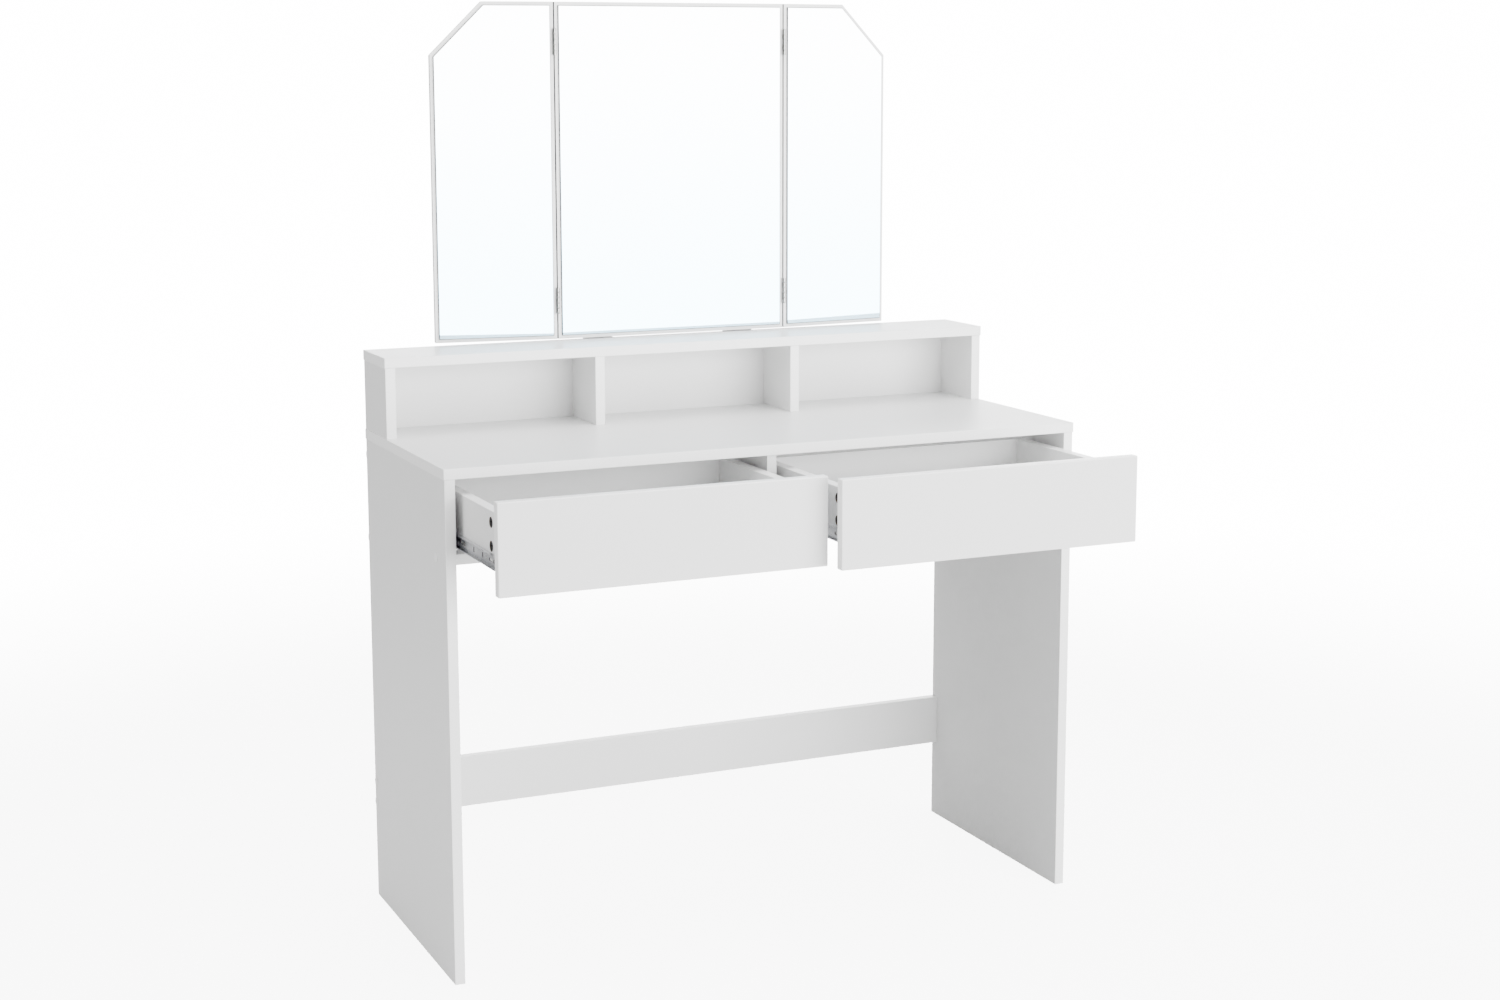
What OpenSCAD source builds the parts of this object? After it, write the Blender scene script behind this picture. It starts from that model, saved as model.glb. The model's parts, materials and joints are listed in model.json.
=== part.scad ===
// Vanity table with two drawers, a three-bay shelf box and a three-panel folding mirror.
// Millimetres, +Z up, +X to the user's right, +Y towards the wall behind the table.

/* [Table] */
// Overall width of the tabletop
table_w = 1000; // [800:10:1300]
// Overall depth of the tabletop
table_d = 400; // [370:5:520]
// Height of the working surface
table_h = 735; // [660:5:850]
// Thickness of every coated board
board_t = 15; // [12:1:19]
// How far the tabletop and the shelf-box top stand past the boards below them
top_overhang = 1; // [0:0.5:5]
// Depth of the flat rail under the drawers
rail_d = 55; // [35:1:100]
// Height of the panel behind the drawers
rear_panel_h = 175; // [130:5:260]
// Height of the low crossbar
crossbar_h = 80; // [60:5:140]
// Height of the crossbar's lower edge above the floor
crossbar_z = 128; // [60:2:260]

/* [Shelf box] */
// Depth of the shelf box on the back of the tabletop
hutch_d = 118; // [95:1:170]
// Height of the shelf box, its top board included
hutch_h = 120; // [90:5:220]

/* [Drawers] */
// Clear height of the bay that a drawer box runs in
drawer_bay_h = 108; // [95:1:200]
// How far a drawer front hangs below the rail
front_drop = 8; // [0:1:30]
// Gap between a drawer front and the tabletop
front_top_gap = 4; // [2:0.5:8]
// Gap between a drawer front and the side panel
front_side_gap = 4; // [2:0.5:8]
// Gap between the two drawer fronts
front_mid_gap = 3; // [2:0.5:8]
// Air left behind a closed drawer front
stop_gap = 3; // [1:0.5:6]
// Height of the drawer box sides
box_h = 76; // [60:1:95]
// Length of the drawer box sides
box_l = 300; // [250:5:340]
// Clear space under the drawer box
box_lift = 10; // [6:1:20]
// Thickness of the drawer bottom
bottom_t = 3; // [2.5:0.5:6]
// Height of the drawer bottom above the lower edge of the sides
bottom_lift = 10; // [8:1:20]
// Depth of the grooves that hold the drawer bottom
groove_d = 6; // [4:0.5:8]
// How far the left drawer stands open
left_open = 168; // [0:1:200]
// How far the right drawer stands open
right_open = 204; // [0:1:215]

/* [Drawer slides] */
// Space that a slide fills between the drawer box and the cabinet
slide_w = 10; // [9:0.5:14]
// Height of the cabinet member of a slide
runner_h = 28; // [26:1:45]
// Sheet thickness of the slides
slide_t = 1.2; // [1:0.1:1.6]
// Diameter of the bearing balls
ball_d = 2.6; // [2:0.1:3]
// Length of the ball cage
cage_l = 64; // [48:16:80]

/* [Mirror] */
// Width of the middle mirror panel
mirror_w = 384; // [300:2:480]
// Height of the mirror panels
mirror_h = 515; // [400:5:700]
// Gap between the wings when they are folded over the middle panel
meeting_gap = 4; // [2:1:60]
// Size of the cut-off upper corner of a wing
wing_cut = 80; // [30:1:110]
// Thickness of the mirror boards
mirror_board_t = 12; // [9:1:15]
// Thickness of the mirror glass
glass_t = 3; // [2:0.5:5]
// Width of the white border left round the glass
glass_border = 5.5; // [3:0.5:15]
// Gap between the mirror and the shelf box
mirror_lift = 2; // [1:0.5:10]
// Gap between two mirror boards at a hinge
wing_gap = 2.4; // [2.2:0.1:4]
// Angle that the left wing is folded back
left_wing_back = 8; // [0:0.5:8]
// Angle that the right wing is folded back
right_wing_back = 5.5; // [0:0.5:8]
// Width of the battens behind the mirror
batten_w = 45; // [30:1:70]
// Length of the battens behind the mirror
batten_l = 370; // [250:5:460]
// Distance between the centres of the battens
batten_pitch = 240; // [140:5:300]

/* [Hinges] */
// Height of a mirror hinge
hinge_h = 40; // [30:1:60]
// Distance from a panel's end to the middle of its hinge
hinge_inset = 60; // [35:1:110]
// Outer radius of the hinge knuckles
knuckle_r = 2.5; // [2.2:0.1:3]
// Radius of the hinge pins
pin_r = 1.2; // [1:0.05:1.4]
// Radial clearance of a wing knuckle on its pin
pin_clearance = 0.05; // [0.02:0.01:0.1]
// Thickness of a hinge leaf
leaf_t = 1; // [0.8:0.1:1.2]
// Depth of a hinge leaf in the edge of a board
leaf_w = 9; // [6:0.5:10]

/* [Hidden] */

$fn = 48;
// Overlap of a cutting shape past the face that it cuts
cut = 1;
// Radial clearance round fasteners in their holes
hole_fit = 0.1;

// Side panels and the bay between them
panel_h = table_h - board_t;
panel_x = top_overhang;
inner_x = panel_x + board_t;
panel_y = top_overhang;
partition_x = table_w / 2 - board_t / 2;
rail_y = panel_y + board_t + stop_gap;
rail_z = panel_h - drawer_bay_h - board_t;
rear_y = table_d - board_t;
rear_panel_z = panel_h - rear_panel_h;

// Shelf box
hutch_y = table_d - hutch_d;
hutch_side_y = hutch_y + top_overhang;
hutch_side_h = hutch_h - board_t;
hutch_top_z = table_h + hutch_h;
bay_w = (table_w - 2 * inner_x - 2 * board_t) / 3;
divider_x = inner_x + bay_w;

// Drawer boxes
front_w = (table_w - 2 * inner_x - 2 * front_side_gap - front_mid_gap) / 2;
front_h = drawer_bay_h + board_t + front_drop - front_top_gap;
front_z = panel_h - front_top_gap - front_h;
box_x = inner_x + slide_w;
box_w = partition_x - inner_x - 2 * slide_w;
box_y = panel_y + board_t;
box_z = rail_z + board_t + box_lift;
bottom_z = box_z + bottom_lift;
race_play = 0.35;
slide_h = runner_h - 2 * (slide_t + ball_d + 2 * race_play);
slide_l = box_l;
slide_z = box_z + slide_h / 2 + 0.5;
runner_y = rail_y + 2;
member_y = box_y + 2;
drawer_front_x = inner_x + front_side_gap;
groove_fit = 0.2;

// Positions of the holes along a slide, from its front end
runner_holes = [20, 36, slide_l / 2 - 18, slide_l / 2 - 2, slide_l - 40, slide_l - 24];
slide_holes = [12, slide_l / 2 - 10, slide_l - 36];
long_slots = [28, slide_l / 2 + 6, slide_l - 60];
long_slot_l = 13;
upright_slots = [62, slide_l / 2 - 50, slide_l - 96];
upright_slot_l = 8;
slot_w = 4.4;
slide_screw_r = 1.7;
slide_head_r = 3;
slide_head_t = 1;
slide_screw_l = slide_t + board_t - groove_d - 1.2;

// A ball cage is a thin channel that runs over the screw heads, with a row of balls in each flange
race_z = (runner_h / 2 - slide_t + slide_h / 2) / 2;
ball_fit = 0.1;
ball_pitch = 16;
cage_t = 0.5;
cage_x = slide_t + slide_head_t + 0.4;
cage_w = slide_w - 2.8 - cage_x;
cage_y = runner_y + (slide_l - cage_l) / 2;
ball_x = cage_x + cage_t + (cage_w - cage_t) / 2;
member_x = cage_x + cage_t + 0.5;

// Cam locks and their bolts
cam_r = 7.3;
cam_hole_r = 7.5;
cam_cover = 3;
cam_sink = 1;
cam_t = board_t - cam_cover - cam_sink;
cam_hole_t = cam_t + cam_sink;
cam_setback = 30;
cam_bolt_r = 3;
cam_bolt_grip = 10;
drawer_cam_z = [28, box_h - 16];
front_cam_y = 80;
rear_cam_lead = 20;
panel_cam_setback = 34;

// Screws, caps and dowels
end_screw_r = 3;
end_screw_l = 48;
end_head_r = 4.8;
end_head_t = 2.5;
end_screw_inset = 24;
crossbar_screw_inset = 0.3 * crossbar_h;
cap_r = 7;
cap_t = 0.9;
middle_dowel_y = (front_cam_y + hutch_y - rear_cam_lead) / 2;
dowel_r = 4;
dowel_top = 10;
dowel_l = 30;
wood_screw_r = 2;
wood_head_r = 4;
wood_head_t = 2;
tabletop_screw_l = 38;
batten_screw_cover = 3;
batten_screw_l = board_t + mirror_board_t - batten_screw_cover;
back_panel_screw_x = 130;
back_screw_l = 42;

// Mirror: every wing turns about an upright line in front of its board's edge
mirror_z = hutch_top_z + mirror_lift;
mirror_x = (table_w - mirror_w) / 2;
mirror_y = table_d - mirror_board_t;
wing_w = (mirror_w - meeting_gap) / 2;
knuckle_lead = max(glass_t, knuckle_r) + 0.5;
hinge_x = mirror_x - wing_gap / 2;
hinge_y = mirror_y - knuckle_lead;
hinge_z = [mirror_z + hinge_inset, mirror_z + mirror_h - hinge_inset];
rear_bevel = 2;
knuckle_gap = 0.4;
knuckle_l = (hinge_h - 4 * knuckle_gap) / 5;
hinge_screw_z = [-12, 12];
hinge_screw_r = 1.2;
hinge_screw_l = 12;
hinge_head_r = 2.2;
hinge_head_t = 0.8;
batten_x = [table_w / 2 - batten_pitch / 2, table_w / 2 + batten_pitch / 2];
batten_z = hutch_top_z - board_t - hutch_side_h + 10;

// The origin lies on the floor, in the middle of the space that the table takes as it stands
rest_front = panel_y - max(left_open, right_open);
wing_back = max(left_wing_back, right_wing_back);
wing_reach = (wing_gap / 2 + wing_w) * sin(wing_back);
rest_back = hinge_y + wing_reach + (knuckle_lead + mirror_board_t) * cos(wing_back);
mid_y = (rest_front + rest_back) / 2;

module at_origin() {
    translate([-table_w / 2, -mid_y, 0]) children();
}

module mirrored() {
    translate([table_w, 0, 0]) mirror([1, 0, 0]) children();
}

module both_sides() {
    children();
    mirrored() children();
}

module rod_x(r, l) {
    rotate([0, 90, 0]) cylinder(r = r, h = l);
}

module rod_y(r, l) {
    rotate([-90, 0, 0]) cylinder(r = r, h = l);
}

// A slot with round ends, long along Y, that cuts one sheet of a slide along X
module slot_x(length, width) {
    depth = slide_t + 2 * cut;
    reach = (length - width) / 2;
    for (side = [-1, 1]) translate([0, side * reach, 0]) rod_x(width / 2, depth);
    translate([0, -reach, -width / 2]) cube([depth, 2 * reach, width]);
}

// ---- fasteners; grow widens them into the holes that hold them ----

// Middle line of each joint at the end of the rail, the rear panel and the crossbar: [y, z]
function end_screw_places() = [
    [rail_y + rail_d / 2, rail_z + board_t / 2],
    [rear_y + board_t / 2, rear_panel_z + end_screw_inset],
    [rear_y + board_t / 2, panel_h - end_screw_inset],
    [rear_y + board_t / 2, crossbar_z + crossbar_screw_inset],
    [rear_y + board_t / 2, crossbar_z + crossbar_h - crossbar_screw_inset]
];

module left_end_screws(grow = 0) {
    for (p = end_screw_places()) translate([panel_x, p[0], p[1]]) {
        rod_x(end_screw_r + grow, end_screw_l + grow);
        translate([-grow, 0, 0]) rod_x(end_head_r + grow, end_head_t + 2 * grow);
    }
}

module left_screw_caps() {
    for (p = end_screw_places()) translate([panel_x - cap_t, p[0], p[1]]) rod_x(cap_r, cap_t);
}

// Cams stand in the inner face of a side panel; their bolts hang from the tabletop
function panel_cam_places() = [front_cam_y, hutch_y - rear_cam_lead];

module left_panel_cam_holes() {
    for (y = panel_cam_places()) {
        translate([inner_x - cam_hole_t, y, panel_h - panel_cam_setback])
            rod_x(cam_hole_r, cam_hole_t + cut);
        translate([panel_x + board_t / 2, y, panel_h - panel_cam_setback])
            cylinder(r = cam_bolt_r + hole_fit, h = panel_cam_setback + cut);
    }
}

// A cam lies along +X with its slotted face at x = 0; its bolt comes in along direction +Z
module cam_lock(depth_to_bolt) {
    difference() {
        translate([-cam_t, 0, 0]) rod_x(cam_r, cam_t);
        translate([-depth_to_bolt, 0, -1.5]) cylinder(r = cam_bolt_r + hole_fit, h = cam_r + cut + 1.5);
        translate([-2, -4.5, -0.75]) cube([2 + cut, 9, 1.5]);
        translate([-2, -0.75, -4.5]) cube([2 + cut, 1.5, 9]);
    }
}

module left_panel_cams() {
    for (y = panel_cam_places()) translate([inner_x - cam_sink, y, panel_h - panel_cam_setback])
        cam_lock(board_t / 2 - cam_sink);
}

module left_panel_cam_bolts(grow = 0) {
    for (y = panel_cam_places()) translate([panel_x + board_t / 2, y, panel_h - panel_cam_setback - 1])
        cylinder(r = cam_bolt_r + grow, h = panel_cam_setback + 1 + cam_bolt_grip + grow);
}

// Dowels: [x, y, z of the joint, length above it, length below it]
function dowel_places() = [
    [panel_x + board_t / 2, middle_dowel_y, panel_h, dowel_top, dowel_l - dowel_top],
    [panel_x + board_t / 2, hutch_side_y + 32, table_h, dowel_l - dowel_top, dowel_top],
    [panel_x + board_t / 2, table_d - 24, table_h, dowel_l - dowel_top, dowel_top],
    [panel_x + board_t / 2, hutch_side_y + 24, hutch_top_z - board_t, dowel_top, dowel_l - dowel_top],
    [panel_x + board_t / 2, table_d - 24, hutch_top_z - board_t, dowel_top, dowel_l - dowel_top],
    [divider_x + board_t / 2, hutch_side_y + 24, hutch_top_z - board_t, dowel_top, dowel_l - dowel_top]
];

module left_dowels(grow = 0) {
    for (p = dowel_places()) translate([p[0], p[1], p[2] - p[4] - grow])
        cylinder(r = dowel_r + grow, h = p[3] + p[4] + 2 * grow);
}

// Screws from under the tabletop into the dividers and the back of the shelf box
function tabletop_screw_places() = [
    [divider_x + board_t / 2, hutch_side_y + 24],
    [divider_x + board_t / 2, rear_y - 20],
    [back_panel_screw_x, rear_y + board_t / 2 - 0.5]
];

module upward_screw(grow) {
    cylinder(r = wood_screw_r + grow, h = tabletop_screw_l + grow);
    translate([0, 0, -grow]) cylinder(r = wood_head_r + grow, h = wood_head_t + 2 * grow);
}

module left_tabletop_screws(grow = 0) {
    for (p = tabletop_screw_places()) translate([p[0], p[1], panel_h + 0.3]) upward_screw(grow);
}

// The partition is screwed up through the rail and forward through the rear panel
module partition_screws(grow = 0) {
    translate([table_w / 2, rail_y + rail_d / 2, rail_z + 0.3]) upward_screw(grow);
    for (dz = [-30, 30]) translate([table_w / 2, table_d - 0.3, panel_h - drawer_bay_h / 2 + dz])
        rotate([90, 0, 0]) upward_screw(grow);
}

// Screws that join a batten to the shelf box and to the mirror board: heights above the batten's end
batten_screw_z = [20, hutch_side_h - 35, (mirror_z - batten_z + batten_l - 22) / 2, batten_l - 25];

module one_batten_screws(x, grow = 0) {
    for (z = batten_screw_z) translate([x, table_d + board_t - 0.3, batten_z + z]) rotate([90, 0, 0]) {
        cylinder(r = wood_screw_r + grow, h = batten_screw_l + grow);
        translate([0, 0, -grow]) cylinder(r = wood_head_r + grow, h = wood_head_t + 2 * grow);
    }
}

module all_batten_screws(grow = 0) {
    for (x = batten_x) one_batten_screws(x, grow);
}

// A short pan-head screw along -X: its head rests on x = 0 and its point goes into the board
module slide_screw(grow = 0) {
    translate([-slide_screw_l, 0, 0]) rod_x(slide_screw_r + grow, slide_screw_l);
    if (grow == 0) rod_x(slide_head_r, slide_head_t);
}

// ---- boards ----

module board(size) {
    cube(size);
}

module side_panel() {
    color("white") difference() {
        translate([panel_x, panel_y, 0]) board([board_t, table_d - panel_y, panel_h]);
        left_end_screws(hole_fit);
        left_panel_cam_holes();
        left_dowels(hole_fit);
        runner_screws_on(inner_x, 0, hole_fit);
    }
}

module left_side_panel() {
    side_panel();
}

module right_side_panel() {
    mirrored() side_panel();
}

module tabletop() {
    color("white") difference() {
        translate([0, 0, panel_h]) board([table_w, table_d, board_t]);
        both_sides() left_panel_cam_bolts(hole_fit);
        both_sides() left_dowels(hole_fit);
        both_sides() left_tabletop_screws(hole_fit);
    }
}

module centre_partition() {
    color("white") difference() {
        translate([partition_x, rail_y, rail_z + board_t])
            board([board_t, rear_y - rail_y, drawer_bay_h]);
        partition_screws(hole_fit);
        mirror_at(partition_x) runner_screws_on(partition_x, 0, hole_fit);
        runner_screws_on(partition_x + board_t, 1, hole_fit);
    }
}

module front_rail() {
    color("white") difference() {
        translate([inner_x, rail_y, rail_z]) board([table_w - 2 * inner_x, rail_d, board_t]);
        both_sides() left_end_screws(hole_fit);
        partition_screws(hole_fit);
    }
}

module rear_panel() {
    color("white") difference() {
        translate([inner_x, rear_y, rear_panel_z]) board([table_w - 2 * inner_x, board_t, rear_panel_h]);
        both_sides() left_end_screws(hole_fit);
        partition_screws(hole_fit);
    }
}

module crossbar() {
    color("white") difference() {
        translate([inner_x, rear_y, crossbar_z]) board([table_w - 2 * inner_x, board_t, crossbar_h]);
        both_sides() left_end_screws(hole_fit);
    }
}

module hutch_side() {
    color("white") difference() {
        translate([panel_x, hutch_side_y, table_h]) board([board_t, table_d - hutch_side_y, hutch_side_h]);
        left_dowels(hole_fit);
    }
}

module hutch_left_side() {
    hutch_side();
}

module hutch_right_side() {
    mirrored() hutch_side();
}

module hutch_divider() {
    color("white") difference() {
        translate([divider_x, hutch_side_y, table_h]) board([board_t, rear_y - hutch_side_y, hutch_side_h]);
        left_dowels(hole_fit);
        left_tabletop_screws(hole_fit);
    }
}

module hutch_left_divider() {
    hutch_divider();
}

module hutch_right_divider() {
    mirrored() hutch_divider();
}

module hutch_back_panel() {
    color("white") difference() {
        translate([inner_x, rear_y, table_h]) board([table_w - 2 * inner_x, board_t, hutch_side_h]);
        both_sides() left_tabletop_screws(hole_fit);
        all_batten_screws(hole_fit);
    }
}

module hutch_top() {
    color("white") difference() {
        translate([0, hutch_y, hutch_top_z - board_t]) board([table_w, hutch_d, board_t]);
        both_sides() left_dowels(hole_fit);
    }
}

module batten(x) {
    color("white") difference() {
        translate([x - batten_w / 2, table_d, batten_z]) board([batten_w, board_t, batten_l]);
        one_batten_screws(x, hole_fit);
    }
}

module left_batten() {
    batten(batten_x[0]);
}

module right_batten() {
    batten(batten_x[1]);
}

// ---- fastener nodes of the table ----

module panel_cam_locks() {
    color("dimgray") both_sides() left_panel_cams();
}

module panel_cam_bolts() {
    color("silver") both_sides() left_panel_cam_bolts();
}

module panel_dowels() {
    color("burlywood") both_sides() left_dowels();
}

module end_screws() {
    color("silver") both_sides() left_end_screws();
}

module screw_caps() {
    color("white") both_sides() left_screw_caps();
}

module tabletop_screws() {
    color("silver") {
        both_sides() left_tabletop_screws();
        partition_screws();
    }
}

module batten_screws() {
    color("silver") all_batten_screws();
}

// ---- drawer slides ----

// A drawer member and a cabinet member are both channels; x runs from the cabinet to the drawer
module runner() {
    color("silver") difference() {
        translate([0, runner_y, slide_z - runner_h / 2]) difference() {
            cube([slide_w - 2, slide_l, runner_h]);
            translate([slide_t, -cut, slide_t]) cube([slide_w, slide_l + 2 * cut, runner_h - 2 * slide_t]);
        }
        for (y = runner_holes) translate([-cut, runner_y + y, slide_z])
            rod_x(slide_screw_r + hole_fit, slide_t + 2 * cut);
    }
}

// set picks every second hole, so that two runners can share one thin board
module runner_screws_on(x, set, grow = 0) {
    for (i = [set : 2 : len(runner_holes) - 1]) translate([x + slide_t, runner_y + runner_holes[i], slide_z])
        slide_screw(grow);
}

module mirror_at(x) {
    translate([x, 0, 0]) mirror([1, 0, 0]) translate([-x, 0, 0]) children();
}

module left_runner_pair() {
    translate([inner_x, 0, 0]) runner();
    mirror_at(partition_x) translate([partition_x, 0, 0]) runner();
}

module left_drawer_runners() {
    left_runner_pair();
}

module right_drawer_runners() {
    mirrored() left_runner_pair();
}

module runner_screws() {
    color("silver") {
        both_sides() runner_screws_on(inner_x, 0);
        mirror_at(partition_x) runner_screws_on(partition_x, 0);
        runner_screws_on(partition_x + board_t, 1);
    }
}

// ---- drawers, drawn shut on the left of the table ----

module drawer_member() {
    color("silver") difference() {
        translate([0, member_y, slide_z - slide_h / 2]) difference() {
            translate([member_x, 0, 0]) cube([slide_w - member_x, slide_l, slide_h]);
            translate([0, -cut, slide_t]) cube([slide_w - slide_t, slide_l + 2 * cut, slide_h - 2 * slide_t]);
        }
        for (y = slide_holes) translate([0, member_y + y, slide_z])
            rod_x(slide_screw_r + hole_fit, slide_w + cut);
        for (y = long_slots) translate([slide_w - slide_t - cut, member_y + y, slide_z])
            slot_x(long_slot_l, slot_w);
        for (y = upright_slots) translate([slide_w - slide_t - cut, member_y + y, slide_z])
            rotate([90, 0, 0]) slot_x(upright_slot_l, slot_w);
    }
}

module drawer_member_screws(grow = 0) {
    for (y = slide_holes) translate([slide_w - slide_t, member_y + y, slide_z])
        mirror([1, 0, 0]) slide_screw(grow);
}

// Mirrors a piece of the box from the side panel's side to the partition's side
module across_box() {
    mirror_at(box_x + box_w / 2) children();
}

module drawer_front() {
    color("white") difference() {
        translate([drawer_front_x, panel_y, front_z]) board([front_w, board_t, front_h]);
        translate([box_x + board_t - groove_d, box_y - groove_d - groove_fit, bottom_z - groove_fit / 2])
            cube([box_w - 2 * board_t + 2 * groove_d, groove_d + groove_fit + cut, bottom_t + groove_fit]);
        drawer_cam_bolts(hole_fit);
    }
}

module drawer_side() {
    color("white") difference() {
        translate([box_x, box_y, box_z]) board([board_t, box_l, box_h]);
        translate([box_x + board_t - groove_d - groove_fit, box_y - cut, bottom_z - groove_fit / 2])
            cube([groove_d + groove_fit + cut, box_l + 2 * cut, bottom_t + groove_fit]);
        for (z = drawer_cam_z) translate([box_x - cut, box_y + cam_setback, box_z + z])
            rod_x(cam_hole_r, cam_hole_t + cut);
        side_cam_bolts(hole_fit);
        side_back_screws(hole_fit);
        translate([inner_x, 0, 0]) drawer_member_screws(hole_fit);
    }
}

module drawer_back() {
    color("white") difference() {
        translate([box_x + board_t, box_y + box_l - board_t, bottom_z + bottom_t])
            board([box_w - 2 * board_t, board_t, box_z + box_h - bottom_z - bottom_t]);
        side_back_screws(hole_fit);
        across_box() side_back_screws(hole_fit);
    }
}

module drawer_bottom() {
    color("white") translate([box_x + board_t - groove_d, box_y - groove_d, bottom_z])
        board([box_w - 2 * board_t + 2 * groove_d, box_l + groove_d, bottom_t]);
}

module side_cam_locks() {
    for (z = drawer_cam_z) translate([box_x + cam_sink, box_y + cam_setback, box_z + z])
        rotate([0, 0, 180]) rotate([-90, 0, 0]) cam_lock(board_t / 2 - cam_sink);
}

module drawer_cam_locks() {
    color("dimgray") {
        side_cam_locks();
        across_box() side_cam_locks();
    }
}

module side_cam_bolts(grow = 0) {
    for (z = drawer_cam_z) translate([box_x + board_t / 2, box_y - cam_bolt_grip - grow, box_z + z])
        rod_y(cam_bolt_r + grow, cam_bolt_grip + cam_setback + 1 + grow);
}

module drawer_cam_bolts(grow = 0) {
    color("silver") {
        side_cam_bolts(grow);
        across_box() side_cam_bolts(grow);
    }
}

module side_back_screws(grow = 0) {
    back_mid = (bottom_z + bottom_t + box_z + box_h) / 2;
    for (dz = [-16, 16]) translate([box_x, box_y + box_l - board_t / 2, back_mid + dz]) {
        rod_x(wood_screw_r + grow, back_screw_l + grow);
        translate([-grow, 0, 0]) rod_x(wood_head_r + grow, wood_head_t + 2 * grow);
    }
}

module drawer_back_screws() {
    color("silver") {
        side_back_screws();
        across_box() side_back_screws();
    }
}

module drawer_slides() {
    translate([inner_x, 0, 0]) drawer_member();
    across_box() translate([inner_x, 0, 0]) drawer_member();
}

module drawer_slide_screws() {
    color("silver") {
        translate([inner_x, 0, 0]) drawer_member_screws();
        across_box() translate([inner_x, 0, 0]) drawer_member_screws();
    }
}

module ball_cage() {
    module ball_spots() {
        for (y = [ball_pitch / 2 : ball_pitch : cage_l - ball_pitch / 2], side = [-1, 1])
            translate([ball_x, cage_y + y, slide_z + side * race_z]) children();
    }
    color("silver") {
        difference() {
            translate([cage_x, cage_y, slide_z - race_z - cage_t / 2])
                cube([cage_w, cage_l, 2 * race_z + cage_t]);
            translate([cage_x + cage_t, cage_y - cut, slide_z - race_z + cage_t / 2])
                cube([cage_w, cage_l + 2 * cut, 2 * race_z - cage_t]);
            ball_spots() translate([0, 0, -cage_t]) cylinder(r = ball_d / 2 + ball_fit, h = 2 * cage_t);
        }
        ball_spots() sphere(r = ball_d / 2);
    }
}

module drawer_ball_cages() {
    translate([inner_x, 0, 0]) ball_cage();
    across_box() translate([inner_x, 0, 0]) ball_cage();
}

module left_drawer(open) {
    translate([0, -open, 0]) children();
}

module right_drawer(open) {
    mirrored() translate([0, -open, 0]) children();
}

// ---- mirror ----

// Outline of a wing in its own plane: the hinge edge at x = 0, the free edge at x = wing_w
module wing_outline(inset) {
    slope = inset * (sqrt(2) - 1);
    polygon([
        [inset, inset],
        [wing_w - inset, inset],
        [wing_w - inset, mirror_h - wing_cut - slope],
        [wing_w - wing_cut - slope, mirror_h - inset],
        [inset, mirror_h - inset]
    ]);
}

// Bevel that lets two boards pass behind each other when a wing folds back
module rear_edge_bevel() {
    translate([0, knuckle_lead + mirror_board_t, -cut]) rotate([0, 0, 45])
        translate([-rear_bevel / sqrt(2), -rear_bevel / sqrt(2), 0])
            cube([rear_bevel * sqrt(2), rear_bevel * sqrt(2), mirror_h + 2 * cut]);
}

// Hinge parts are drawn about the pin, z = 0 in the middle; the leaf goes into the board on the +X side
module knuckle(index) {
    translate([0, 0, -hinge_h / 2 + index * (knuckle_l + knuckle_gap)])
        cylinder(r = knuckle_r, h = knuckle_l);
}

module hinge_leaf(indices, bore_r) {
    edge = wing_gap / 2;
    color("silver") difference() {
        union() {
            translate([edge, knuckle_lead - 0.4, -hinge_h / 2]) cube([leaf_t, leaf_w + 0.4, hinge_h]);
            for (i = indices) {
                knuckle(i);
                translate([edge, 0, -hinge_h / 2 + i * (knuckle_l + knuckle_gap)])
                    cube([leaf_t, knuckle_lead, knuckle_l]);
            }
        }
        translate([0, 0, -hinge_h / 2 - cut]) cylinder(r = bore_r, h = hinge_h + 2 * cut);
        hinge_screws(hole_fit);
    }
}

module hinge_screws(grow = 0) {
    color("silver") for (z = hinge_screw_z) translate([wing_gap / 2, knuckle_lead + leaf_w / 2, z]) {
        rod_x(hinge_screw_r + grow, hinge_screw_l + grow);
        translate([-grow, 0, 0]) rod_x(hinge_head_r + grow, hinge_head_t + 2 * grow);
    }
}

module leaf_recess() {
    translate([0, 0, -hinge_h / 2 - hole_fit])
        cube([wing_gap / 2 + leaf_t + hole_fit, knuckle_lead + leaf_w + hole_fit, hinge_h + 2 * hole_fit]);
    hinge_screws(hole_fit);
}

module at_left_hinges() {
    for (z = hinge_z) translate([hinge_x, hinge_y, z]) children();
}

module centre_mirror_board() {
    color("white") difference() {
        translate([mirror_x, mirror_y, mirror_z]) board([mirror_w, mirror_board_t, mirror_h]);
        both_sides() at_left_hinges() leaf_recess();
        both_sides() translate([mirror_x, hinge_y, mirror_z]) rear_edge_bevel();
        all_batten_screws(hole_fit);
    }
}

module centre_mirror_glass() {
    color("aliceblue") translate([mirror_x + glass_border, mirror_y - glass_t, mirror_z + glass_border])
        cube([mirror_w - 2 * glass_border, glass_t, mirror_h - 2 * glass_border]);
}

module centre_hinge_leaves() {
    both_sides() at_left_hinges() hinge_leaf([0, 2, 4], pin_r);
}

module hinge_pins() {
    color("silver") both_sides() at_left_hinges()
        translate([0, 0, -hinge_h / 2]) cylinder(r = pin_r, h = hinge_h);
}

module centre_hinge_screws() {
    both_sides() at_left_hinges() hinge_screws();
}

// The wing about its pin: flat beside the middle panel, on its left
module wing_board() {
    color("white") mirror([1, 0, 0]) difference() {
        translate([wing_gap / 2, knuckle_lead + mirror_board_t, 0]) rotate([90, 0, 0])
            linear_extrude(height = mirror_board_t) wing_outline(0);
        for (z = hinge_z) translate([0, 0, z - mirror_z]) leaf_recess();
        translate([wing_gap / 2, 0, 0]) rear_edge_bevel();
    }
}

module wing_glass() {
    color("aliceblue") mirror([1, 0, 0]) translate([wing_gap / 2, knuckle_lead, 0]) rotate([90, 0, 0])
        linear_extrude(height = glass_t) wing_outline(glass_border);
}

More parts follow.
